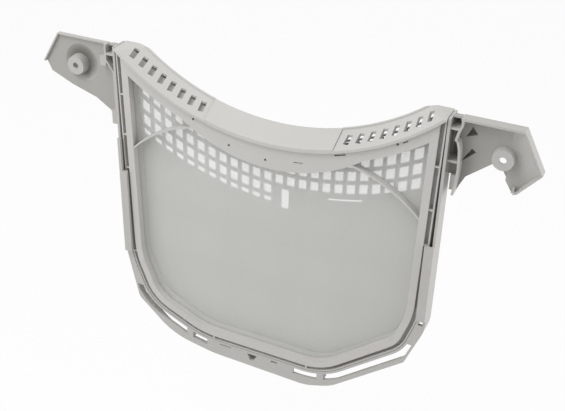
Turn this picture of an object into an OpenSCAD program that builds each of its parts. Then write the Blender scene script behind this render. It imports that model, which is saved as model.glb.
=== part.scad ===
// Lint guide cover of a tumble dryer with its lint filter seated in it.
// The guide is a shallow pocket with two screw wings and a grille in its back wall.
// The filter is two hinged-open frames, each holding a fine screen, under a slotted cap.
// Origin midway between the two screw boss faces, +X right, +Y to the drum, +Z up.

/* [Guide] */

// distance between the two screw bosses
boss_spacing = 412; // [404:1:420]
// width over the pocket's side walls
shell_w = 322; // [318:1:326]
// thickness of the pocket's side walls
shell_wall = 2.3; // [2:0.1:3]
// depth from the screw boss faces to the grille wall
grille_y = 13.9; // [13.9:0.1:16]
// thickness of the grille wall
grille_t = 2; // [1.6:0.1:3]
// height of the pocket's and the wings' top edge above the screws
top_z = 28; // [26:0.5:30]
// outer radius of a screw boss at its tip
boss_r = 9; // [8:0.5:10]
// diameter of the hole in a screw boss
boss_hole_d = 6; // [5:0.1:6.5]
// thickness of the wing floors, walls and ribs
wing_wall = 2; // [1.6:0.1:2.5]

/* [Grille] */

// distance between columns of grille holes
column_pitch = 11.8; // [11:0.1:13]
// width of a grille hole
hole_w = 8.2; // [6:0.1:9]
// distance between the arc rows of grille holes
row_pitch = 13; // [12:0.1:13.5]
// height of a grille hole
hole_h = 9.7; // [7:0.1:10]
// how far the centre of the rows' arcs lies to the right of the door's centre
row_shift = 10; // [8:0.5:11]

/* [Filter] */

// how far the filter's bottom edge lies below the screws
frame_drop = 272; // [266:1:276]
// radius of the door opening at the cap's near edge
cap_r = 232.5; // [230:0.5:236]
// how much smaller that radius is at the cap's far edge
cap_taper = 11; // [9:0.5:13]
// thickness of the cap
cap_t = 2.5; // [2:0.1:3]
// width of the band round the filter's opening
band_w = 7; // [6:0.5:8]
// width of the open channel round the band
channel_w = 3.7; // [3:0.1:4]
// thickness of the thin wall outside the channel
rim_t = 1.4; // [1.2:0.1:1.6]
// thickness of a screen
screen_t = 0.6; // [0.5:0.1:1]
// width of a finger slot in the cap
slot_w = 5.2; // [4:0.1:6]
// angle between neighbouring slots
slot_pitch = 2.9; // [2.7:0.05:3.1]
// how far the slots lean outward
slot_lean = 14; // [0:1:16]

/* [Flange] */

// distance from the band's edge to the windows' outer edge
window_out = 15; // [13:0.5:16]
// thickness of the flange
flange_t = 3; // [2:0.5:4]

/* [Hidden] */

hw = shell_w / 2;
bx = boss_spacing / 2;
cap_end = hw - 3;
// the door opening's centre, above the screws, so that its arc ends at the pocket's corners
cap_z = top_z + 1.4 + sqrt(pow(cap_r, 2) - pow(cap_end, 2));
// depths of the layers, from the near side to the drum side
face_y = -2.5;
cap_near_y = -4.8;
cap_far_y = 18;
mid_y = 5.4;
rear_y = grille_y - 0.6;
back_y = grille_y + grille_t;
rim_y = -1.5;
lip_near_y = -6;
lip_far_y = -3;
// clearance between the filter and the pocket
slip = 0.4;
// thickness of the filter's walls and ribs
skin = 1.6;
band_top = hw - 7.3;
band_low = hw - 12;
over_z = top_z + 40;
left_top = top_z + 0.6;
right_top = top_z + 1.6;
foot = -frame_drop;
rim_out = channel_w + rim_t;
wall_in = rim_out + slip;
wall_out = wall_in + shell_wall;
opening_r = cap_r + 12.5;
// the lobe that hangs below the door arc over the filter's opening
lobe_r = 150;
lobe_z = cap_z - opening_r - 13 + lobe_r;
// the corner gussets: arcs from the lobe to the band
gusset_r = 135.8;
gusset_w = 1.7;
gusset_start = hw - 84;
gusset_x = gusset_start - 28.5;
gusset_z = lobe_z - sqrt(pow(lobe_r, 2) - pow(gusset_start, 2)) + 2.5
    - sqrt(pow(gusset_r, 2) - pow(gusset_start - gusset_x, 2));
cap_far_r = cap_r - cap_taper;
cap_far_end = sqrt(pow(cap_far_r, 2) - pow(cap_z - top_z, 2));
cap_slope = cap_taper / (cap_far_y - cap_near_y);
first_slot = 18.4;
slots = 8;
columns = 24;
first_column = -hw + 23;
// the grille wall's top edge and the first row of holes, as radii of the rows' arcs
wall_top_r = cap_r - 1.5;
first_row = cap_r + 13.2;
steps = 8;
big = 400;
eps = 0.01;

// the band's outer edge as corners with radii, left side down and right side up
edge = [
    [-band_top, over_z, 0], [-band_low, foot + 76, 90], [-hw + 31, foot + 26, 45],
    [-hw + 89, foot, 80], [hw - 99, foot, 60], [hw - 24, foot + 61, 36],
    [band_low, foot + 98, 90], [band_top, over_z, 0]
];
// the whole guide's outer edge below the wings
skirt = [
    [-hw, over_z, 0], [-hw + 0.5, foot + 79, 60], [-hw + 13, foot + 22, 10],
    [-hw + 53, foot - 14, 70], [-hw + 101, foot - 22.5, 70], [hw - 115, foot - 25, 50],
    [hw - 88, foot - 16, 50], [hw - 16, foot + 42.5, 4], [hw, foot + 85, 40], [hw, over_z, 0]
];

// the wings' outlines, left side down and right side up
left_outline = [
    [-hw - 8, left_top], [-bx - 19.5, left_top], [-bx - 38.7, -2.1], [-bx - 33.3, -13.5],
    [-bx - 10.3, -23.4], [-bx + 16.5, -31.6], [-bx + 33, -41.9], [-hw, -46], [-hw, 2],
    [-hw - 8, 13]
];
right_outline = [
    [hw + 8, right_top], [hw + 6, -41.5], [hw + 8.5, -40.5], [bx - 29.3, -25], [bx - 8.7, -8],
    [bx + 0.8, -12.5], [bx + 10.4, -28], [bx + 15.3, -26.5], [bx + 33.2, -5.5],
    [bx + 31.5, -2.5], [bx + 14.2, right_top]
];

function unit(v) = v / norm(v);
function xz(p) = [p[0], p[1]];

// the points of one corner, rounded to its radius
function corner(p, q, s) =
    q[2] == 0 ? [xz(q)] :
    let (a = unit(xz(p) - xz(q)), b = unit(xz(s) - xz(q)), half = acos(a * b) / 2,
         r = q[2], c = xz(q) + unit(a + b) * r / sin(half),
         f = xz(q) + a * r / tan(half) - c, g = xz(q) + b * r / tan(half) - c,
         from = atan2(f[1], f[0]), turn = (atan2(g[1], g[0]) - from + 900) % 360 - 180)
    [for (k = [0:steps]) c + r * [cos(from + turn * k / steps), sin(from + turn * k / steps)]];

function rounded(c) =
    let (n = len(c)) [for (i = [0:n - 1]) each corner(c[(i + n - 1) % n], c[i], c[(i + 1) % n])];

// an outline moved outward by d along its own normals
function grown(p, d) =
    let (n = len(p)) [for (i = [0:n - 1])
        let (u = unit(p[i] - p[(i + n - 1) % n]), v = unit(p[(i + 1) % n] - p[i]),
             nu = [u[1], -u[0]], nv = [v[1], -v[0]])
        p[i] + d * (nu + nv) / (1 + nu * nv)];

// a flat shape in the x-z plane, extruded from depth y0 to depth y1
module layer(y0, y1) {
    translate([0, y1, 0]) rotate([90, 0, 0]) linear_extrude(y1 - y0) children();
}

// a box between two corners
module block(a, b) {
    translate(a) cube(b - a);
}

// a disc about the door opening's centre
module door(r) {
    translate([0, cap_z]) circle(r, $fn = 180);
}

// a cone about the door opening's axis, r smaller than the cap's own surface
module cone(r) {
    translate([0, cap_far_y + 1, cap_z]) rotate([90, 0, 0])
        cylinder(h = cap_far_y - cap_near_y + 2, r1 = cap_far_r - cap_slope - r,
                 r2 = cap_r + cap_slope - r, $fn = 180);
}

// the band's outer edge grown by d, cut level with the pocket's top
module edge_area(d) {
    intersection() {
        polygon(grown(rounded(edge), d));
        translate([-big, -big]) square([2 * big, big + top_z]);
    }
}

module skirt_area(d) {
    polygon(grown(rounded(skirt), d));
}

// the filter's opening, bounded above by the door arc and a lobe
module opening_area(d) {
    difference() {
        edge_area(-band_w + d);
        door(opening_r - d);
        translate([0, lobe_z]) circle(lobe_r - d, $fn = 180);
    }
}

module strip(x0, x1, z0, z1) {
    translate([x0, z0]) square([x1 - x0, z1 - z0]);
}

// a disc about the centre of the grille's rows
module row(r) {
    translate([row_shift, cap_z]) circle(r, $fn = 180);
}

// where the grille has holes: one row more on the left than on the right
module grille_area() {
    difference() {
        intersection() {
            for (i = [0:columns - 1])
                strip(first_column + i * column_pitch - hole_w / 2,
                      first_column + i * column_pitch + hole_w / 2, -big, big);
            edge_area(-1);
            row(first_row + 4 * row_pitch + 5.5);
        }
        for (k = [0:4]) difference() {
            row(first_row + k * row_pitch);
            row(first_row + (k - 1) * row_pitch + hole_h);
        }
        row(first_row);
        door(cap_r + 4);
        difference() {
            strip(first_column + 11.5 * column_pitch, big, -big, big);
            row(first_row + 2 * row_pitch + hole_h);
        }
    }
}

module guide_wall() {
    layer(grille_y, back_y) difference() {
        union() {
            edge_area(wall_out);
            intersection() {
                skirt_area(0);
                strip(-hw, hw, foot + 90, top_z);
            }
        }
        row(wall_top_r);
        door(cap_r - cap_slope * (grille_y - cap_near_y) + cap_t + 2 * slip);
        strip(-cap_end - slip, cap_end + slip, top_z - cap_t - slip, over_z);
        grille_area();
        strip(6, 14, foot + 165, foot + 186);
        intersection() {
            strip(53, 86, foot, 0);
            difference() {
                row(first_row + 3 * row_pitch + 4.5);
                row(first_row + 3 * row_pitch + 2);
            }
        }
    }
}

// the pocket's side walls and the wall under the filter
module pocket_walls() {
    layer(face_y, back_y) difference() {
        intersection() {
            skirt_area(0);
            strip(-hw, hw, foot + 60, top_z);
        }
        skirt_area(-shell_wall);
    }
    layer(face_y, back_y) difference() {
        edge_area(wall_out);
        edge_area(wall_in);
        strip(-big, big, foot + 112, big);
    }
    for (s = [-1, 1])
        block([s * (hw - 3) - 3.5, face_y, foot + 110], [s * (hw - 3) + 3, back_y, foot + 112]);
}

// the lips that hold the filter in the pocket
module lips() {
    difference() {
        union() {
            block([-hw + 1, lip_near_y, foot + 79], [-hw + 9, lip_far_y, foot + 173]);
            block([-hw + 1, lip_near_y, foot + 173], [-hw + 4, lip_far_y, foot + 208]);
            block([hw - 8.5, lip_near_y, foot + 97], [hw, lip_far_y, foot + 177]);
            block([-hw + 1, lip_near_y, foot + 79], [-hw + shell_wall, back_y, foot + 208]);
            block([hw - shell_wall, lip_near_y, foot + 97], [hw, back_y, foot + 177]);
        }
        layer(lip_near_y - 1, lip_far_y + eps) difference() {
            strip(-big, big, foot, foot + 100);
            skirt_area(0);
        }
    }
}

module windows() {
    intersection() {
        difference() {
            edge_area(window_out);
            edge_area(wall_out);
        }
        union() {
            strip(-hw, -hw + 70, foot - 30, foot + 38);
            strip(-hw + 77, -hw + 94, foot - 30, foot + 20);
            strip(32, 58, foot - 30, foot + 20);
            strip(65, hw, foot - 30, foot + 65);
        }
    }
}

// the flange round the pocket's foot, with its windows, rim, bridges and centre slots
module flange() {
    layer(face_y, face_y + flange_t) difference() {
        intersection() {
            skirt_area(0);
            strip(-hw, hw, foot - 40, foot + 90);
        }
        edge_area(wall_in);
        windows();
        strip(-52, -39, foot - 9, foot - 6);
        strip(-33, 7, foot - 7.5, foot - 6);
        strip(7, 14, foot - 10, foot - 7);
        flange_pocket();
    }
    layer(face_y + flange_t - 0.8, face_y + flange_t + 5) difference() {
        grown_pocket();
        flange_pocket();
    }
    layer(face_y + flange_t + 4, face_y + flange_t + 5) grown_pocket();
    layer(face_y, face_y + 9) difference() {
        intersection() {
            skirt_area(0);
            strip(-hw, hw, foot - 40, foot + 60);
        }
        skirt_area(-wing_wall);
    }
    for (x = [-hw + 70, 58])
        layer(face_y, face_y + 9) intersection() {
            difference() {
                edge_area(window_out + 1);
                edge_area(wall_out - 1);
            }
            strip(x, x + 7, foot - 30, foot + 20);
        }
}

// the three-sided pocket under the flange's centre slot
module flange_pocket() {
    polygon([[-17, foot - 16], [-13, foot - 16], [-9, foot - 8.5], [-20, foot - 8.5]]);
}

module grown_pocket() {
    polygon([[-18, foot - 17.2], [-12, foot - 17.2], [-7, foot - 7.4], [-22, foot - 7.4]]);
}

// the screw hole through a boss's tip, and the hollow behind the tip
module boss_hole(s) {
    translate([s * bx, back_y + 1, 0]) rotate([90, 0, 0]) {
        cylinder(h = back_y + 4, d = boss_hole_d, $fn = 48);
        cylinder(h = back_y + 1 - wing_wall, r = boss_r - wing_wall, $fn = 72);
    }
}

// a boss from its tip to depth y1, a little wider at its foot
module boss(s, y1) {
    translate([s * bx, y1, 0]) rotate([90, 0, 0])
        cylinder(h = y1, r1 = boss_r + y1 * 0.12, r2 = boss_r, $fn = 96);
}

// what a slanting cut takes from the near edge of a plate at depth y0, along p to q
module bevel(p, q, y0, w, d) {
    long = norm(q - p);
    translate([p[0], y0, p[1]]) rotate([0, -atan2(q[1] - p[1], q[0] - p[0]), 0])
        translate([-1, 0, 0]) rotate([90, 0, 90]) linear_extrude(long + 2)
            polygon([[-1, -1], [d, -1], [d, 0], [0, w], [-1, w]]);
}

// the band of an outline that lies within t of its edge
module edge_band(p, t) {
    difference() {
        polygon(p);
        polygon(grown(p, -t));
    }
}

module left_area() {
    polygon(left_outline);
}

// the sloping plate that closes a pocket at the top, or all that lies up to h above it
module pocket_top(x0, x1, z, h) {
    low = h > 0 ? 0 : wing_wall;
    fall = 4.5;
    far = back_y + (h > 0 ? 1 : 0);
    translate([x0, 0, 0]) rotate([90, 0, 90]) linear_extrude(x1 - x0)
        polygon([[3, z - low], [3, z + h], [far, z + h - fall], [far, z - low - fall]]);
}

// left wing: a shallow tray with a dish round its boss
module left_wing() {
    floor_y = 4.5;
    dish_r = 40;
    dish_y = 4.5;
    near = floor_y - 2.3;
    difference() {
        union() {
            layer(floor_y, floor_y + wing_wall) left_area();
            layer(floor_y, floor_y + dish_y + wing_wall) intersection() {
                translate([-bx + 5, 3]) circle(21, $fn = 72);
                left_area();
            }
        }
        translate([-bx + 5, floor_y + dish_y - dish_r, 3]) sphere(dish_r, $fn = 120);
        for (i = [2:5]) bevel(left_outline[i], left_outline[i + 1], floor_y, 2.2, wing_wall);
        boss_hole(-1);
    }
    layer(near, floor_y + wing_wall) intersection() {
        edge_band(left_outline, 1.3);
        strip(-big, -hw - 8, -3, over_z);
    }
    layer(rim_y, back_y) union() {
        polygon([[-hw - 10, 13.5], [-hw - 8, 13.5], [-hw, 2], [-hw, -1], [-hw - 1, -1], [-hw - 2, 2]]);
        strip(-hw - 1.8, -hw + eps, -42, 2);
        strip(-hw - 10, -hw + eps, 18.5, 20.5);
    }
    pocket_top(-hw - 9, -hw + eps, left_top, 0);
    difference() {
        union() {
            layer(rim_y, back_y) strip(-hw - 8 - wing_wall, -hw - 8, 13, left_top);
            layer(back_y - wing_wall, back_y)
                polygon([[-hw - 9, left_top], [-hw - 9, 14], [-hw + eps, 1], [-hw + eps, left_top]]);
        }
        pocket_top(-hw - 12, -hw + 1, left_top, 12);
    }
    layer(-1, floor_y + 1) strip(-hw - 15.5, -hw - 9, 7, 16.5);
    difference() {
        boss(-1, floor_y + dish_y + 1);
        boss_hole(-1);
    }
    block([-hw - 7, 0, -52], [-hw + 1, 9, -38]);
}

module right_area() {
    polygon(right_outline);
}

// the raised outer lobe of the right wing
module lobe_area() {
    intersection() {
        right_area();
        strip(bx + 4, big, -big, right_top);
    }
}

// the right wing's inner wall, waving past the pocket's side
module inner_wall() {
    near_side = [
        [hw + 8.5, right_top], [hw + 8.5, 23], [hw + 6, 16.5], [hw + 4.6, 9.5], [hw + 6.5, 8],
        [hw + 8.4, 1], [hw + 9, -7], [hw + 9.4, -16], [hw + 9, -25], [hw + 7, -41]
    ];
    n = len(near_side);
    polygon([each near_side, for (i = [1:n]) near_side[n - i] + [wing_wall, 0]]);
}

// a three-sided dimple in the right wing's floor, grown by d
module dimple(d) {
    translate([hw + 15, 12]) polygon([[-3 - d, -1 - d], [6.5 + 2 * d, 2.5], [1.5, 9 + 2 * d]]);
    translate([hw + 13, -11]) polygon([[-3 - d, -1 - d], [9 + 2 * d, 9.5], [5, 12.5 + 2 * d]]);
}

// right wing: a deep tray that curves up to its outer edge, with two dimples in its floor
module right_wing() {
    floor_y = 6.5;
    bowl_r = 22;
    tilt = atan2(right_top + 2.5, 17.3);
    difference() {
        union() {
            layer(floor_y, floor_y + wing_wall) right_area();
            layer(rim_y + 1, floor_y + wing_wall) lobe_area();
            layer(floor_y, floor_y + 7) intersection() {
                right_area();
                dimple(wing_wall);
            }
        }
        translate([bx + 31.5, floor_y - bowl_r, -2.5]) rotate([0, tilt - 90, 0])
            translate([-bowl_r + 3.5, 0, -big / 4]) cylinder(h = big / 2, r = bowl_r, $fn = 180);
        layer(floor_y - 1, floor_y + 6) dimple(0);
        boss_hole(1);
    }
    layer(rim_y, floor_y + wing_wall) intersection() {
        right_area();
        union() {
            strip(hw + 8, big, right_top - wing_wall, over_z);
            intersection() {
                edge_band(right_outline, 1.3);
                strip(bx + 12, big, -big, right_top);
            }
        }
    }
    layer(1, 4) polygon([[bx + 10, -27.8], [bx + 13, -26.5], [bx + 12.5, -22], [bx + 11, -23]]);
    layer(rim_y, back_y) strip(hw - eps, hw + 9, 18.5, 20.5);
    pocket_top(hw - eps, hw + 9, right_top, 0);
    difference() {
        union() {
            layer(rim_y, back_y) inner_wall();
            layer(back_y - wing_wall, back_y) strip(hw - eps, hw + 10, -12, right_top);
        }
        pocket_top(hw - 1, hw + 12, right_top, 12);
    }
    layer(floor_y, floor_y + wing_wall) strip(hw - eps, hw + 10, -25, -10);
    layer(0.5, back_y) strip(hw - eps, hw + 9, -12, -10);
    layer(floor_y - 4, floor_y + wing_wall) strip(hw + 4, hw + 8.5, -38, -24);
    difference() {
        boss(1, floor_y + 1);
        boss_hole(1);
    }
}

module guide_cover() {
    color([0.74, 0.73, 0.71]) {
        guide_wall();
        pocket_walls();
        lips();
        flange();
        left_wing();
        right_wing();
    }
}

// the cap: a cone band under the door opening, with flat shoulders at its ends
module cap() {
    intersection() {
        difference() {
            cone(-cap_t);
            cone(0);
        }
        block([-cap_end, cap_near_y, -big], [cap_end, cap_far_y, top_z]);
    }
    intersection() {
        difference() {
            block([-cap_end, cap_near_y, top_z - cap_t], [cap_end, cap_far_y, top_z]);
            cone(0);
        }
        block([-cap_end, cap_near_y, 0], [cap_end, cap_far_y, top_z + 1]);
    }
    intersection() {
        difference() {
            cone(-1);
            cone(1);
        }
        block([-64, cap_near_y, -big], [62, cap_far_y, 0]);
    }
    intersection() {
        difference() {
            cone(-1);
            cone(1.5);
        }
        for (x = [[-cap_far_end, -64], [62, cap_far_end]])
            block([x[0], cap_far_y - 1.3, -big], [x[1], cap_far_y, top_z]);
    }
}

// what comes off the crease between the cap's arc and its right shoulder
module crease() {
    near_end = sqrt(pow(cap_r, 2) - pow(cap_z - top_z, 2));
    translate([near_end, cap_near_y, top_z - 1.2])
        rotate([0, 0, atan2(cap_far_y - cap_near_y, cap_far_end - near_end)]) rotate([-19, 0, 0])
        translate([-20, -30, 0]) cube([70, 60, 12]);
}

module cap_slots() {
    for (s = [-1, 1], k = [0:slots - 1])
        translate([0, 0, cap_z]) rotate([0, s * -(first_slot + k * slot_pitch), 0])
            translate([0, 6, 0]) rotate([0, 0, -s * slot_lean])
                block([-slot_w / 2, -5, -cap_r - 9], [slot_w / 2, 5, -cap_r + 16]);
}

// the flat areas of the filter's band, with the face above the opening
module band_area() {
    difference() {
        edge_area(0);
        opening_area(0);
        door(cap_r + 1);
    }
}

module gussets(y0, y1) {
    inner = gusset_start - gusset_x - 1;
    layer(y0, y1) intersection() {
        for (s = [-1, 1]) translate([s * gusset_x, gusset_z]) intersection() {
            difference() {
                circle(gusset_r, $fn = 180);
                circle(gusset_r - gusset_w, $fn = 180);
            }
            strip(min(s * inner, s * gusset_r), max(s * inner, s * gusset_r), 0, gusset_r);
        }
        edge_area(-band_w + 1);
    }
}

// front half of the filter: cap, band, ribbed channel and gussets
module front_frame() {
    color([0.78, 0.77, 0.75]) {
        difference() {
            cap();
            cap_slots();
            for (m = [0, 1]) mirror([m, 0, 0]) crease();
        }
        difference() {
            union() {
                layer(face_y, face_y + 2) band_area();
                layer(face_y, mid_y) difference() {
                    intersection() {
                        opening_area(skin + 3);
                        band_area();
                    }
                    opening_area(0);
                }
                layer(face_y, mid_y) difference() {
                    edge_area(0);
                    edge_area(-skin);
                    door(cap_r + 1);
                }
                layer(face_y + 0.8, mid_y) difference() {
                    edge_area(rim_out);
                    edge_area(channel_w);
                    door(cap_r + 1);
                }
                layer(mid_y - 1.4, mid_y) difference() {
                    edge_area(rim_out);
                    opening_area(0);
                    door(cap_r + 1);
                }
                channel_ribs();
            }
            layer(mid_y - screen_t, mid_y + 1) opening_area(3);
            face_marks();
        }
        gussets(face_y + 0.4, mid_y - screen_t);
        pips();
    }
}

// thin ribs across the channel
module channel_ribs() {
    layer(face_y + 0.8, mid_y) intersection() {
        difference() {
            edge_area(rim_out);
            edge_area(-1);
        }
        union() {
            for (drop = [46, 88, 124]) strip(-big, big, top_z - drop - 0.8, top_z - drop + 0.8);
            strip(-big, 0, foot + 78, foot + 79.6);
            for (x = [-86, -60, 45]) strip(x, x + 1.6, foot - 20, foot);
        }
    }
}

// small holes and slots in the face over the opening, placed by angle and radius
module face_marks() {
    layer(face_y - 1, face_y + 3) translate([0, cap_z]) {
        for (m = [[-18.8, 6.3], [-9.3, 14.8], [-0.7, 17.5], [30.1, 4.5]])
            rotate(m[0]) translate([0, -cap_r - m[1]]) circle(1.2, $fn = 24);
        for (m = [[6.8, 14.2, 9, 0.9], [16.7, 5.2, 11, 1.5], [31.9, 4.7, 5, 1]])
            rotate(m[0]) translate([-m[2] / 2, -cap_r - m[1] - m[3] / 2]) square([m[2], m[3]]);
    }
}

// small round pips on the band
module pips() {
    for (p = [[-hw + 20, 69], [hw - 31, 66], [hw - 52, 40], [43, 3.5]])
        translate([p[0], face_y + 1, foot + p[1]]) rotate([90, 0, 0])
            cylinder(h = 1.5, r = 1.4, $fn = 24);
}

// rear half of the filter: a channel section closed by the front half
module rear_frame() {
    color([0.76, 0.75, 0.73]) difference() {
        union() {
            hinge_rail();
            layer(rear_y - skin, rear_y) rear_area();
            layer(mid_y, rear_y) difference() {
                rear_area();
                opening_area(skin + 3);
                difference() {
                    edge_area(rim_out - skin);
                    door(cap_r + 3 + skin);
                    opening_area(skin + 3);
                }
            }
            layer(mid_y, rear_y) difference() {
                intersection() {
                    rear_area();
                    opening_area(skin + 3);
                }
                opening_area(0);
            }
        }
        layer(rear_y - screen_t, rear_y + 1) opening_area(3);
    }
}

module rear_area() {
    difference() {
        edge_area(rim_out);
        opening_area(0);
        door(cap_r + 3);
    }
}

// the rail under the cap's far part, on posts that stand between the slots
module hinge_rail() {
    layer(rear_y - skin, rear_y) intersection() {
        union() {
            difference() {
                door(cap_r - 1);
                door(cap_r - 2.6);
            }
            for (s = [-1, 1], k = [1:2:slots - 1])
                translate([0, cap_z]) rotate(s * (first_slot + (k - 0.5) * slot_pitch))
                    strip(-0.8, 0.8, -cap_r - 4, -cap_r + 1.8);
        }
        for (x = [[-cap_end + 14, -66], [66, cap_end - 14]]) strip(x[0], x[1], -big, top_z - 5);
    }
}

module front_screen() {
    color([0.7, 0.71, 0.7]) layer(mid_y - screen_t, mid_y) opening_area(3);
}

module rear_screen() {
    color([0.7, 0.71, 0.7]) layer(rear_y - screen_t, rear_y) opening_area(3);
}

guide_cover();
front_frame();
rear_frame();
front_screen();
rear_screen();
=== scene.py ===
# %% [markdown]
# # A dryer's lint guide cover with its filter
#
# The object is a shallow plastic pocket that hangs under a dryer's door opening from two screws.
# A lint filter stands in it: two plastic frames, each holding a fine woven screen, under a
# slotted cap that follows the round door opening. This lesson dresses the solid parts with
# moulded plastic and woven mesh, lights them softly and looks at them from the photograph's side.

# %% Load the solid parts
from math import cos, radians, sin

import bmesh
import bpy
from mathutils import Matrix, Vector


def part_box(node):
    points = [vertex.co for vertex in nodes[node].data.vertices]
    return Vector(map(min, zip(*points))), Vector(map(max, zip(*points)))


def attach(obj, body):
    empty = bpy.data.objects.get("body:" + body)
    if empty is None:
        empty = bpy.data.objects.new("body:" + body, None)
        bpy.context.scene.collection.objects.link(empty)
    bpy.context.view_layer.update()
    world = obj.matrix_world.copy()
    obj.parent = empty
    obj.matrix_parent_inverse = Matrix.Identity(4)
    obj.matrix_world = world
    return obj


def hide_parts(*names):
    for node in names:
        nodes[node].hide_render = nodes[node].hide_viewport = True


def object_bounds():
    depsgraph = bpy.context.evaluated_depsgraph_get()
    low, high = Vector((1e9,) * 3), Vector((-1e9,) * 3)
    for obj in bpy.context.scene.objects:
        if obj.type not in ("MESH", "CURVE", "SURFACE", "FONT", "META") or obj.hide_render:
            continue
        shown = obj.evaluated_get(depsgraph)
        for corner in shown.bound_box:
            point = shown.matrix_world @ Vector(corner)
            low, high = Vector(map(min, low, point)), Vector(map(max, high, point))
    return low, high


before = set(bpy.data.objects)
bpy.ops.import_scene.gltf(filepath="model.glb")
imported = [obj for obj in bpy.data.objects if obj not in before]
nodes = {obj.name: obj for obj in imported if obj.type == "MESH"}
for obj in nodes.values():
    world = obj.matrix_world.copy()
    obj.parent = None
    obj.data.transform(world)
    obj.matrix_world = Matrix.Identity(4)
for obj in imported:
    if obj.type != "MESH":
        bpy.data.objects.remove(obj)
cad_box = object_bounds()
print("solid parts:", sorted(nodes))
print("box in mm:", [round(v * 1000, 1) for v in list(cad_box[0]) + list(cad_box[1])])

# %% [markdown]
# ## The camera
#
# A product photograph taken from the upper right, close enough for a slight perspective. The
# place and the lens were worked out from straight and round features whose real shape is known:
# the round door edge, the columns of the grille and the two screw bosses. A long lens keeps the
# far wing nearly as large as the near one.

# %% Place the camera
PHOTO_WIDTH = 565
FOCAL_PIXELS = 946.56
AZIMUTH, ELEVATION, ROLL = 0.42447, 0.53957, 0.02827
TARGET = Vector((0.015389, -0.0025, -0.09279))
DISTANCE = 0.86863

toward_camera = Vector(
    (sin(AZIMUTH) * cos(ELEVATION), -cos(AZIMUTH) * cos(ELEVATION), sin(ELEVATION)))
level_right = Vector((cos(AZIMUTH), sin(AZIMUTH), 0))
level_up = toward_camera.cross(level_right)
right = cos(ROLL) * level_right + sin(ROLL) * level_up
up = -sin(ROLL) * level_right + cos(ROLL) * level_up

lens = bpy.data.cameras.new("photo_camera")
lens.sensor_width = 36
lens.lens = FOCAL_PIXELS / PHOTO_WIDTH * lens.sensor_width
camera = bpy.data.objects.new("photo_camera", lens)
camera.matrix_world = Matrix.Translation(TARGET + DISTANCE * toward_camera) @ Matrix(
    (right, up, toward_camera)).transposed().to_4x4()
bpy.context.scene.collection.objects.link(camera)
bpy.context.scene.camera = camera
print("lens in mm:", round(lens.lens, 2))

# %% [markdown]
# ## Helpers for shader nodes
#
# Materials are made of nodes and links. A small helper that adds a node, sets its values and
# links its inputs keeps each material readable from top to bottom. A second one multiplies
# masks, a third reads where a surface point lies and a fourth which way it faces. The last
# starts a shared effect with its named inputs and outputs.


# %% Helpers for node trees
def add(tree, kind, values=None, **settings):
    node = tree.nodes.new(kind)
    for name, value in settings.items():
        setattr(node, name, value)
    for name, value in (values or {}).items():
        socket = node.inputs[name]
        if isinstance(value, bpy.types.NodeSocket):
            tree.links.new(value, socket)
        else:
            socket.default_value = value
    return node


def times(tree, one, two):
    return add(tree, "ShaderNodeMath", {0: one, 1: two}, operation="MULTIPLY").outputs[0]


def surface_place(tree):
    return add(tree, "ShaderNodeTexCoord").outputs["Object"]


def surface_facing(tree):
    normal = add(tree, "ShaderNodeNewGeometry").outputs["Normal"]
    return add(tree, "ShaderNodeSeparateXYZ", {"Vector": normal}).outputs


def effect(name, inputs, outputs):
    tree = bpy.data.node_groups.new(name, "ShaderNodeTree")
    for label, kind, value in inputs:
        socket = tree.interface.new_socket(name=label, in_out="INPUT", socket_type=kind)
        if value is not None:
            socket.default_value = value
    for label, kind in outputs:
        tree.interface.new_socket(name=label, in_out="OUTPUT", socket_type=kind)
    return tree, tree.nodes.new("NodeGroupInput").outputs, tree.nodes.new("NodeGroupOutput")


# %% [markdown]
# ## Moulded plastic
#
# Injection moulded plastic is never perfectly even. Its colour drifts a little where the melt
# flowed, its skin carries a very fine spark-eroded grain, and the gloss varies with the mould's
# polish. One group gives all three, so the guide and the filter can share it with other values.


# %% The moulded skin as a shared effect
moulded, given, result = effect(
    "moulded_skin",
    [("Plastic", "NodeSocketColor", (0.5, 0.5, 0.5, 1)), ("Drift", "NodeSocketFloat", 0.03),
     ("Gloss Low", "NodeSocketFloat", 0.42), ("Gloss High", "NodeSocketFloat", 0.56),
     ("Grain Scale", "NodeSocketFloat", 2600.0)],
    [("Color", "NodeSocketColor"), ("Roughness", "NodeSocketFloat"), ("Height", "NodeSocketFloat")])
place = surface_place(moulded)
flow = add(moulded, "ShaderNodeTexNoise", {"Vector": place, "Scale": 14.0, "Detail": 3.0})
grain = add(moulded, "ShaderNodeTexNoise",
            {"Vector": place, "Scale": given["Grain Scale"], "Detail": 2.0})
shift = add(moulded, "ShaderNodeMapRange",
            {"Value": flow.outputs["Fac"], "To Min": -1.0, "To Max": 1.0})
amount = times(moulded, shift.outputs[0], given["Drift"])
level = add(moulded, "ShaderNodeMath", {0: amount, 1: 1.0}, operation="ADD")
tinted = add(moulded, "ShaderNodeVectorMath", {0: given["Plastic"], "Scale": level.outputs[0]},
             operation="SCALE")
polish = add(moulded, "ShaderNodeMapRange",
             {"Value": flow.outputs["Fac"], "To Min": given["Gloss Low"],
              "To Max": given["Gloss High"]})
moulded.links.new(tinted.outputs[0], result.inputs["Color"])
moulded.links.new(polish.outputs[0], result.inputs["Roughness"])
moulded.links.new(grain.outputs["Fac"], result.inputs["Height"])
print("shared effect:", moulded.name)
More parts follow.
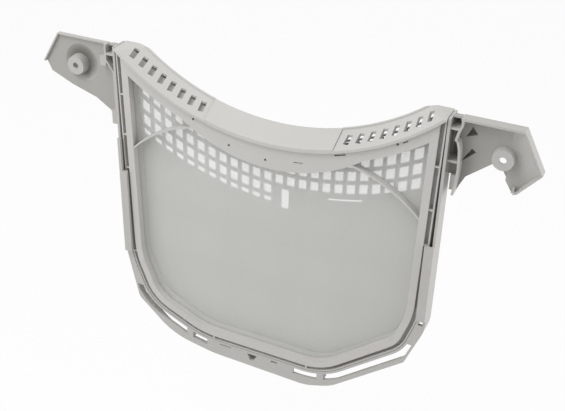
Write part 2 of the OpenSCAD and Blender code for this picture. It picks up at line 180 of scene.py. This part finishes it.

# %% [markdown]
# ## Fine dust on faces that look up
#
# A lint filter's frame is seldom quite clean: a faint grey film stays on faces that look up.
# The mask is made from the surface's own direction and a soft noise, so it lies where dust would.

# %% A dust film as a shared effect
dusty, given, result = effect(
    "dust_film",
    [("Color", "NodeSocketColor", (0.5, 0.5, 0.5, 1)),
     ("Dust", "NodeSocketColor", (0.6, 0.6, 0.58, 1)), ("Amount", "NodeSocketFloat", 0.15)],
    [("Color", "NodeSocketColor")])
lying = add(dusty, "ShaderNodeMapRange",
            {"Value": surface_facing(dusty)["Z"], "From Min": 0.2, "From Max": 1.0})
patches = add(dusty, "ShaderNodeTexNoise",
              {"Vector": surface_place(dusty), "Scale": 60.0, "Detail": 4.0})
overlay = times(dusty, lying.outputs[0], patches.outputs["Fac"])
share = times(dusty, overlay, given["Amount"])
mixed = add(dusty, "ShaderNodeMix", {0: share, 6: given["Color"], 7: given["Dust"]},
            data_type="RGBA")
dusty.links.new(mixed.outputs[2], result.inputs["Color"])
print("shared effect:", dusty.name)

# %% [markdown]
# ## Painted shade in the wings' recesses
#
# The floors and the dish of the two wings are darkened in their colour, and the deeper they lie,
# the darker they are: this darkening is painted shade. The mask reads the depth in the moulding,
# keeps to its near side and starts beyond the pocket. On the right wing it fades toward the end,
# which curves up.

# %% Painted shade by depth as a shared effect
# The dark colour mixed in here is painted shade: it darkens the wings' deep near faces where shade
# falls.
deep, given, result = effect(
    "recess_painted_shade",
    [("Color", "NodeSocketColor", (0.5, 0.5, 0.5, 1)),
     ("Painted Shade", "NodeSocketColor", (0.12, 0.118, 0.1, 1)),
     ("Pocket Side", "NodeSocketFloat", 0.162), ("Begins", "NodeSocketFloat", 0.0015),
     ("Full", "NodeSocketFloat", 0.009), ("Fade Starts", "NodeSocketFloat", 0.162),
     ("Fade Ends", "NodeSocketFloat", 0.222), ("Amount", "NodeSocketFloat", 0.5)],
    [("Color", "NodeSocketColor")])
place = surface_place(deep)
axes = add(deep, "ShaderNodeSeparateXYZ", {"Vector": place})
depth = add(deep, "ShaderNodeMapRange",
            {"Value": axes.outputs["Y"], "From Min": given["Begins"], "From Max": given["Full"]},
            interpolation_type="SMOOTHSTEP")
fade = add(deep, "ShaderNodeMapRange",
           {"Value": axes.outputs["X"], "From Min": given["Fade Starts"],
            "From Max": given["Fade Ends"], "To Min": 1.0, "To Max": 0.1})
aside = add(deep, "ShaderNodeMath", {0: axes.outputs["X"]}, operation="ABSOLUTE")
beyond = add(deep, "ShaderNodeMath", {0: aside.outputs[0], 1: given["Pocket Side"]},
             operation="GREATER_THAN")
near_side = add(deep, "ShaderNodeMapRange",
                {"Value": surface_facing(deep)["Y"], "From Min": 0.0, "From Max": -0.5})
patches = add(deep, "ShaderNodeTexNoise", {"Vector": place, "Scale": 45.0, "Detail": 4.0})
uneven = add(deep, "ShaderNodeMapRange",
             {"Value": patches.outputs["Fac"], "To Min": 0.9, "To Max": 1.1})
share = given["Amount"]
for factor in (depth, fade, beyond, near_side, uneven):
    share = times(deep, share, factor.outputs[0])
# Painted shade: the dark colour is mixed in where the wings lie deep.
with_painted_shade = add(deep, "ShaderNodeMix", {0: share, 6: given["Color"], 7: given["Painted Shade"]},
             data_type="RGBA")
deep.links.new(with_painted_shade.outputs[2], result.inputs["Color"])
print("shared effect:", deep.name)

# %% [markdown]
# ## The two plastics
#
# The guide and the filter are moulded in nearly the same pale grey, so one function makes both
# materials from the shared effects. Only the guide has wings, so only its recesses get painted
# shade.


# %% Build the two plastics
def plastic(name, colour, gloss, recess=0.0, drift=0.03, gloss_spread=0.14, dust=0.10):
    material = bpy.data.materials.new(name)
    material.use_nodes = True
    tree = material.node_tree
    surface = tree.nodes["Principled BSDF"]
    skin = add(tree, "ShaderNodeGroup", node_tree=moulded)
    skin.inputs["Plastic"].default_value = (*colour, 1)
    skin.inputs["Drift"].default_value = drift
    skin.inputs["Gloss Low"].default_value = gloss
    skin.inputs["Gloss High"].default_value = gloss + gloss_spread
    layers = [(dusty, dust), (deep, recess)] if recess else [(dusty, dust)]
    seen = skin.outputs["Color"]
    # Real dust goes on both plastics; on the guide, painted shade in the wings' recesses goes over
    # it.
    for layer, amount in layers:
        overlay = add(tree, "ShaderNodeGroup", {"Color": seen, "Amount": amount}, node_tree=layer)
        seen = overlay.outputs["Color"]
    tree.links.new(seen, surface.inputs["Base Color"])
    tree.links.new(skin.outputs["Roughness"], surface.inputs["Roughness"])
    relief = add(tree, "ShaderNodeBump",
                 {"Height": skin.outputs["Height"], "Strength": 0.12, "Distance": 0.0002})
    tree.links.new(relief.outputs["Normal"], surface.inputs["Normal"])
    surface.inputs["Specular IOR Level"].default_value = 0.42
    print(name, "wears", [layer.name for layer, amount in layers])
    return material


# recess sets the strength of the painted shade in the guide's wings.
guide_plastic = plastic("guide_plastic", (0.46, 0.45, 0.428), gloss=0.42, recess=0.84)
filter_plastic = plastic("filter_plastic", (0.52, 0.51, 0.49), gloss=0.40)

# %% Finish the moulded pieces
finishes = {"guide_cover": guide_plastic, "front_frame": filter_plastic,
            "rear_frame": filter_plastic}
for node_name, finish in finishes.items():
    slots = nodes[node_name].data.materials
    if not len(slots):
        slots.append(finish)
    for i in range(len(slots)):
        slots[i] = finish
    print(node_name, "is finished in", finish.name)

# %% [markdown]
# ## The woven screens
#
# Each frame holds a polyester screen as fine as a sieve. Seen from arm's length the threads
# melt into a pale film: what lies behind shows through, a little whiter. The piece is made from
# the near face of the solid screen, so that it fills its frame exactly, and the weave is a
# pattern of crossing threads whose open squares let light through. Its threads are waves along
# two axes, 9000 radians to the metre, which is a thread every 0.7 mm.


# %% The weave as a shared effect
woven, given, result = effect(
    "woven_threads",
    [("Threads", "NodeSocketFloat", 1800.0), ("Open", "NodeSocketFloat", 0.5)],
    [("Cover", "NodeSocketFloat"), ("Height", "NodeSocketFloat"), ("Thread", "NodeSocketFloat")])
axes = add(woven, "ShaderNodeSeparateXYZ", {"Vector": surface_place(woven)})


def thread_profile(along):
    turn = times(woven, along, given["Threads"])
    wave = add(woven, "ShaderNodeMath", {0: turn}, operation="COSINE")
    return add(woven, "ShaderNodeMapRange", {"Value": wave.outputs[0], "From Min": -1.0}).outputs[0]


warp = thread_profile(axes.outputs["X"])
weft = thread_profile(axes.outputs["Z"])
high = add(woven, "ShaderNodeMath", {0: warp, 1: weft}, operation="MAXIMUM")
cover = add(woven, "ShaderNodeMapRange",
            {"Value": high.outputs[0], "From Min": given["Open"], "From Max": 1.0,
             "To Min": 0.0, "To Max": 1.0})
woven.links.new(cover.outputs[0], result.inputs["Cover"])
woven.links.new(high.outputs[0], result.inputs["Height"])
woven.links.new(times(woven, warp, weft), result.inputs["Thread"])
print("shared effect:", woven.name)


# %% The screens' material
def screen_material(name, colour, least, most, threads=9000.0, shaded=0.93):
    material = bpy.data.materials.new(name)
    material.use_nodes = True
    tree = material.node_tree
    surface = tree.nodes["Principled BSDF"]
    weave = add(tree, "ShaderNodeGroup", {"Threads": threads, "Open": 0.35}, node_tree=woven)
    dim = tuple(c * shaded for c in colour)
    tone = add(tree, "ShaderNodeMix",
               {0: weave.outputs["Thread"], 6: (*dim, 1), 7: (*colour, 1)}, data_type="RGBA")
    tree.links.new(tone.outputs[2], surface.inputs["Base Color"])
    veil = add(tree, "ShaderNodeMapRange",
               {"Value": weave.outputs["Cover"], "To Min": least, "To Max": most})
    tree.links.new(veil.outputs[0], surface.inputs["Alpha"])
    relief = add(tree, "ShaderNodeBump",
                 {"Height": weave.outputs["Height"], "Strength": 0.3, "Distance": 0.0001})
    tree.links.new(relief.outputs["Normal"], surface.inputs["Normal"])
    surface.inputs["Roughness"].default_value = 0.6
    surface.inputs["Specular IOR Level"].default_value = 0.3
    return material


screen_mesh = screen_material("screen_mesh", (0.82, 0.83, 0.80), least=0.14, most=0.56)
print("screens are finished in", screen_mesh.name)


# %% Make each screen from the near face of its solid
def screen(name, node_name, body):
    solid = nodes[node_name]
    low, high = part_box(node_name)
    made = bmesh.new()
    made.from_mesh(solid.data)
    near = {f for f in made.faces
            if f.normal.y < -0.9 and f.calc_center_median().y < low.y + 1e-4}
    rest = [f for f in made.faces if f not in near]
    bmesh.ops.delete(made, geom=rest, context="FACES")
    bmesh.ops.remove_doubles(made, verts=made.verts, dist=1e-6)
    bmesh.ops.translate(made, verts=made.verts, vec=(0, (high.y - low.y) / 2, 0))
    mesh = bpy.data.meshes.new(name)
    made.to_mesh(mesh)
    area = sum(f.calc_area() for f in made.faces)
    made.free()
    piece = bpy.data.objects.new(name, mesh)
    bpy.context.scene.collection.objects.link(piece)
    mesh.materials.clear()
    mesh.materials.append(screen_mesh)
    for polygon in mesh.polygons:
        polygon.material_index = 0
    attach(piece, body)
    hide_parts(node_name)
    print(name, "covers", round(area * 1e4), "square cm with", len(mesh.polygons), "faces")


screen("front_mesh", "front_screen", "filter")
screen("rear_mesh", "rear_screen", "filter")

# %% [markdown]
# ## The shelf under the left slots
#
# Through the left row of slots a pale shelf shows close under the cap. It belongs to the front
# frame's moulding. It follows the cap's cone, so its radius about the door's centre shrinks
# toward the drum side, and it ends short of the frame's near face and rear plate.

# %% Make the shelf
DOOR_CENTRE_Z, CAP_RADIUS, CAP_NEAR_Y, CAP_SLOPE = 0.19997, 0.2325, -0.0048, 0.4825
SHELF_DEPTH, SHELF_THICKNESS = 0.0040, 0.0010
SHELF_NEAR, SHELF_FAR = -0.0006, 0.0112
SHELF_START, SHELF_END, SHELF_STEPS = radians(17), radians(40), 24


def on_the_cone(angle, y, depth):
    radius = CAP_RADIUS - (y - CAP_NEAR_Y) * CAP_SLOPE + depth
    return (-radius * sin(angle), y, DOOR_CENTRE_Z - radius * cos(angle))


made = bmesh.new()
rings = []
for i in range(SHELF_STEPS + 1):
    angle = SHELF_START + (SHELF_END - SHELF_START) * i / SHELF_STEPS
    under = SHELF_DEPTH + SHELF_THICKNESS
    corners = ((SHELF_NEAR, SHELF_DEPTH), (SHELF_FAR, SHELF_DEPTH),
               (SHELF_FAR, under), (SHELF_NEAR, under))
    rings.append([made.verts.new(on_the_cone(angle, y, depth)) for y, depth in corners])
for one, two in zip(rings, rings[1:]):
    for k in range(4):
        made.faces.new((one[k], one[(k + 1) % 4], two[(k + 1) % 4], two[k]))
made.faces.new(rings[0][::-1])
made.faces.new(rings[-1])
bmesh.ops.recalc_face_normals(made, faces=made.faces)
shelf_mesh = bpy.data.meshes.new("slot_shelf")
made.to_mesh(shelf_mesh)
made.free()
shelf_mesh.materials.append(filter_plastic)
shelf = bpy.data.objects.new("slot_shelf", shelf_mesh)
bpy.context.scene.collection.objects.link(shelf)
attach(shelf, "filter")
print("the shelf spans", round((SHELF_END - SHELF_START) * CAP_RADIUS * 1000), "mm along the arc")

# %% [markdown]
# ## Floor, light and background
#
# The photograph has a clean white ground. The floor looks nearly white to the camera and still
# takes a soft shadow. A lamp above and to the left brightens the upper faces and leaves the
# pockets in the wings dark. A weaker one at the front left lights the near faces, one at the
# right lights the outer wall, and the world fills the rest.

# %% The floor
FLOOR_HALF, FLOOR_DROP, FLOOR_WHITE = 6, 0.15, 0.93

floor_mesh = bpy.data.meshes.new("floor")
grid = bmesh.new()
bmesh.ops.create_grid(grid, x_segments=1, y_segments=1, size=FLOOR_HALF)
grid.to_mesh(floor_mesh)
grid.free()
floor = bpy.data.objects.new("floor", floor_mesh)
floor.location = (0, 0, cad_box[0].z - FLOOR_DROP)
bpy.context.scene.collection.objects.link(floor)


def seen_directly(tree):
    rays = add(tree, "ShaderNodeLightPath").outputs
    direct = add(tree, "ShaderNodeMath", {0: rays["Is Camera Ray"], 1: rays["Is Glossy Ray"]},
                 operation="MAXIMUM")
    return add(tree, "ShaderNodeMath", {0: direct.outputs[0], 1: rays["Is Transmission Ray"]},
               operation="MAXIMUM").outputs[0]


ground = bpy.data.materials.new("pale_floor")
ground.use_nodes = True
tree = ground.node_tree
tree.nodes.clear()
matte = add(tree, "ShaderNodeBsdfDiffuse", {"Color": (0.8, 0.8, 0.8, 1)})
glow = add(tree, "ShaderNodeEmission", {"Color": (1, 1, 1, 1), "Strength": 1.0})
part_white = times(tree, seen_directly(tree), FLOOR_WHITE)
both = add(tree, "ShaderNodeMixShader", {0: part_white, 1: matte.outputs[0], 2: glow.outputs[0]})
add(tree, "ShaderNodeOutputMaterial", {"Surface": both.outputs[0]})
floor_mesh.materials.append(ground)
print("the floor lies", round(FLOOR_DROP * 1000), "mm under the object")

# %% The sky around
WORLD_FILL = 0.58

world = bpy.data.worlds.new("studio")
bpy.context.scene.world = world
world.use_nodes = True
tree = world.node_tree
tree.nodes.clear()
fill = add(tree, "ShaderNodeBackground", {"Color": (1, 1, 1, 1), "Strength": WORLD_FILL})
white = add(tree, "ShaderNodeBackground", {"Color": (1, 1, 1, 1), "Strength": 1.0})
choice = add(tree, "ShaderNodeMixShader",
             {0: seen_directly(tree), 1: fill.outputs[0], 2: white.outputs[0]})
add(tree, "ShaderNodeOutputWorld", {"Surface": choice.outputs[0]})
print("the world fills with strength", WORLD_FILL)


# %% The lamps
LAMP_SIZE, LAMP_AIM = 0.55, Vector((0, 0, -0.1))


def lamp(name, place, power):
    data = bpy.data.lights.new(name, "AREA")
    data.shape = "SQUARE"
    data.size = LAMP_SIZE
    data.energy = power
    made = bpy.data.objects.new(name, data)
    made.location = place
    made.rotation_euler = (LAMP_AIM - made.location).to_track_quat("-Z", "Y").to_euler()
    bpy.context.scene.collection.objects.link(made)
    print("lamp", name, "gives", power, "W")


lamp("top_left", (-0.45, -0.45, 0.94), 6.7)
lamp("front_left", (-0.85, -0.85, 0.22), 3.4)
lamp("right", (1.2, -0.04, 0.22), 6.4)

# %% Finish: plain view
bpy.context.scene.view_settings.view_transform = "Standard"
bpy.context.view_layer.update()
